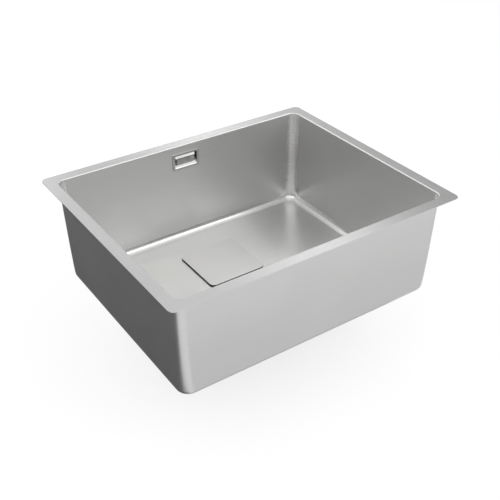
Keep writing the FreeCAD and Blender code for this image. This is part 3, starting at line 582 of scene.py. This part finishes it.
def bowlRegion(face):  # which of those finishes, with their painted light and shade, a face has
    middle, facing = face.center / mm, face.normal
    level = abs(facing.z) > region["levelNormal"]
    if level and middle.z > region["rimZ"]:
        side = abs(middle.x) - bowl["rimHalf"][0] > abs(middle.y) - bowl["rimHalf"][1]
        return "sideRim" if side else "longRim"
    if level and middle.z < region["floorZ"]:
        return "floor" if facing.z > 0 else "outside"
    if facing.x * middle.x + facing.y * middle.y > 0:
        return "outside"
    if abs(facing.x * facing.y) > region["bentNormal"] or abs(facing.z) > region["leaningNormal"]:
        return "bend"
    return "shadedSideWall" if abs(facing.x) > abs(facing.y) else "longWall"


def paintBowl(mesh):
    order = list(bowlFinishAndShade)
    for face in mesh.polygons:
        face.material_index = order.index(bowlRegion(face))


bowlPiece = addPiece("pressedBowl", makeBowl(), bowlFinishAndShade.values(), "root", ["bowl"])
thicken = bowlPiece.modifiers.new("sheet", "SOLIDIFY")
thicken.thickness = bowl["sheet"] * mm
thicken.offset = -1
thicken.use_even_offset = True
bakeModifiers(bowlPiece)
bowlPiece.data.set_sharp_from_angle(angle=math.radians(bowl["sheetSharp"]))
soften = bowlPiece.modifiers.new("normals", "WEIGHTED_NORMAL")
soften.keep_sharp = True
bakeModifiers(bowlPiece)
paintBowl(bowlPiece.data)
print("bowl made, faces", len(bowlPiece.data.polygons))


# Overflow hose: ribbed, from the housing's spigot down and round to the waste body

hose = {
    "route": [(0, 216.0, -67.2), (0, 213.5, -180.8), (0, 212.05, -245.8), (0, 147.5, -245.8)],
    "pitch": 6.0, "rootRadius": 9.3, "crestRadius": 11.0, "sides": 40, "plainEnd": 20.0, "sharp": 60.0,
    "ribShape": [(0.0, 0.0), (0.12, 0.28), (0.2, 0.72), (0.28, 0.95), (0.4, 1.0), (0.52, 0.95), (0.6, 0.72),
                 (0.68, 0.28), (0.8, 0.0)],
}


def readRoute(points):  # points along the route's own spline
    curve = bpy.data.curves.new("route", "CURVE")
    curve.dimensions = "3D"
    spline = curve.splines.new("NURBS")
    spline.points.add(len(points) - 1)
    for control, point in zip(spline.points, points):
        control.co = (*(Vector(point) * mm), 1.0)
    spline.order_u = 3
    spline.use_endpoint_u = True
    spline.resolution_u = 40
    carrier = bpy.data.objects.new("route", curve)
    collection.objects.link(carrier)
    mesh = bpy.data.meshes.new_from_object(carrier)
    line = [vert.co.copy() for vert in mesh.vertices]
    bpy.data.objects.remove(carrier)
    bpy.data.meshes.remove(mesh)
    bpy.data.curves.remove(curve)
    return line


def alongLine(line, distance):  # place and direction at a distance from the start
    for first, second in zip(line, line[1:]):
        step = (second - first).length
        if distance <= step or second is line[-1]:
            return first + (second - first) * (distance / step), (second - first).normalized()
        distance -= step


def makeHose():
    line = readRoute(hose["route"])
    length = sum((b - a).length for a, b in zip(line, line[1:])) / mm
    ribs = int((length - 2 * hose["plainEnd"]) / hose["pitch"])
    start = (length - ribs * hose["pitch"]) / 2
    stations = [(0.0, hose["rootRadius"]), (start / 2, hose["rootRadius"])]
    for rib in range(ribs):
        for share, height in hose["ribShape"]:
            radius = hose["rootRadius"] + height * (hose["crestRadius"] - hose["rootRadius"])
            stations.append((start + (rib + share) * hose["pitch"], radius))
    stations += [(length - start / 2, hose["rootRadius"]), (length, hose["rootRadius"])]
    bm = bmesh.new()
    loops = []
    for run, radius in stations:
        point, direction = alongLine(line, run * mm)
        across = Vector((1, 0, 0))
        turn = Matrix((across, direction.cross(across), direction)).transposed().to_4x4()
        verts = bmesh.ops.create_circle(bm, segments=hose["sides"], radius=radius * mm,
                                        matrix=Matrix.Translation(point) @ turn)["verts"]
        loops.append(list({edge for vert in verts for edge in vert.link_edges}))
    for first, second in zip(loops, loops[1:]):
        bridge(bm, first, second)
    bmesh.ops.contextual_create(bm, geom=loops[0])
    bmesh.ops.contextual_create(bm, geom=loops[-1])
    bmesh.ops.recalc_face_normals(bm, faces=bm.faces)
    print("hose length", round(length, 1), "ribs", ribs)
    return bm


addPiece("ribbedHose", makeHose(), [hosePlastic], "root", ["overflow_hose"], hose["sharp"])


# Outlet thread: one helical ridge on the outlet

thread = {"radius": 23.9, "height": 0.35, "sunk": 0.3, "flank": 0.8, "pitch": 2.3, "turns": 8.5,
          "top": -278.5, "steps": 48, "sharp": 20.0}


def makeThread():
    bm = bmesh.new()
    base, tip = thread["radius"] - thread["sunk"], thread["radius"] + thread["height"]
    flank = thread["pitch"] / 2 * thread["flank"]
    corners = [(base, -flank), (tip, 0.0), (base, flank)]
    verts = [bm.verts.new((radius * mm, 0, (thread["top"] + z) * mm)) for radius, z in corners]
    edges = [bm.edges.new(pair) for pair in zip(verts, verts[1:])]
    bmesh.ops.spin(bm, geom=verts + edges, cent=(0, 0, 0), axis=(0, 0, 1),
                   steps=int(thread["steps"] * thread["turns"]), angle=2 * math.pi * thread["turns"],
                   dvec=(0, 0, -thread["pitch"] * mm / thread["steps"]))
    bmesh.ops.translate(bm, verts=bm.verts, vec=(0, bowl["drainY"] * mm, 0))
    bmesh.ops.recalc_face_normals(bm, faces=bm.faces)
    return bm


addPiece("outletThread", makeThread(), [bodyPlastic], "root", sharp=thread["sharp"])
print("thread made, turns", thread["turns"])


# Overflow scoop: the leaning strip behind the top of the inlet's plate

scoop = {"halfX": 20.3, "top": (203.6, -19.8), "foot": (200.6, -26.2), "sheet": 0.5}


def makeScoop():
    bm = bmesh.new()
    ends = [bm.verts.new((-scoop["halfX"] * mm, y * mm, z * mm)) for y, z in (scoop["top"], scoop["foot"])]
    edge = bm.edges.new(ends)
    swept = bmesh.ops.extrude_edge_only(bm, edges=[edge])["geom"]
    far = [vert for vert in swept if isinstance(vert, bmesh.types.BMVert)]
    bmesh.ops.translate(bm, verts=far, vec=(2 * scoop["halfX"] * mm, 0, 0))
    bmesh.ops.recalc_face_normals(bm, faces=bm.faces)
    if bm.faces[:][0].normal.y > 0:
        bmesh.ops.reverse_faces(bm, faces=bm.faces)
    bmesh.ops.solidify(bm, geom=bm.faces[:], thickness=scoop["sheet"] * mm)
    bmesh.ops.recalc_face_normals(bm, faces=bm.faces)
    return bm


addPiece("overflowScoop", makeScoop(), [scoopSteel], "root")
print("scoop made")


# Cover gap shadow: a dark strip under the waste cover's edge, clear of the floor, a painted shadow that
# stands in for the shade in the gap beneath the cover; it is made in the seal rubber finish

gapShadowStrip = {"inset": 0.2, "width": 1.4, "foot": -193.8}


def makeGapShadowStrip():
    bm = bmesh.new()
    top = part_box("waste_cover")[0][2] / mm  # the cover's underside
    loops = []
    for inset, z in [(gapShadowStrip["inset"], top), (gapShadowStrip["inset"], gapShadowStrip["foot"]),
                     (gapShadowStrip["inset"] + gapShadowStrip["width"], gapShadowStrip["foot"]), (gapShadowStrip["inset"] + gapShadowStrip["width"], top)]:
        half = coverEdge["half"] - inset
        loops.append(outline(bm, (half, half), coverEdge["corner"] - inset, z, coverEdge["y"]))
    for first, second in zip(loops, loops[1:] + loops[:1]):
        bridge(bm, first, second)
    bmesh.ops.recalc_face_normals(bm, faces=bm.faces)
    print("bead from", round(top, 2), "to", gapShadowStrip["foot"])
    return bm


addPiece("coverGapShadowStrip", makeGapShadowStrip(), [sealRubber], "cover")


# Finishes of the CAD nodes, also of the two that pieces replace

finishes = {
    "waste_cover": coverSteel, "cover_ring": cupSteel, "cover_feet": sealRubber,
    "waste_flange": cupSteel, "basket": cupSteel, "basket_stem": fastenerSteel, "basket_knob": nutPlastic,
    "basket_nut": nutPlastic, "basket_seal": sealRubber, "waste_top_seal": sealRubber,
    "waste_lower_seal": sealRubber, "waste_body": bodyPlastic, "waste_insert": insertBrass,
    "waste_screw": fastenerSteel, "overflow_rosette": rosetteSteel, "overflow_plate": plateSteel,
    "overflow_screws": fastenerSteel, "overflow_gasket": sealRubber, "overflow_housing": bodyPlastic,
    "upper_hose_nut": nutPlastic, "lower_hose_nut": nutPlastic, "upper_hose_seal": sealRubber,
    "lower_hose_seal": sealRubber, "sound_pad": padRubber, "bowl": wallSteel, "overflow_hose": hosePlastic,
}
for name, material in finishes.items():
    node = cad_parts[name]
    node.data.materials.clear()
    node.data.materials.append(material)
print("finishes given to", len(finishes), "nodes")

bpy.context.view_layer.update()
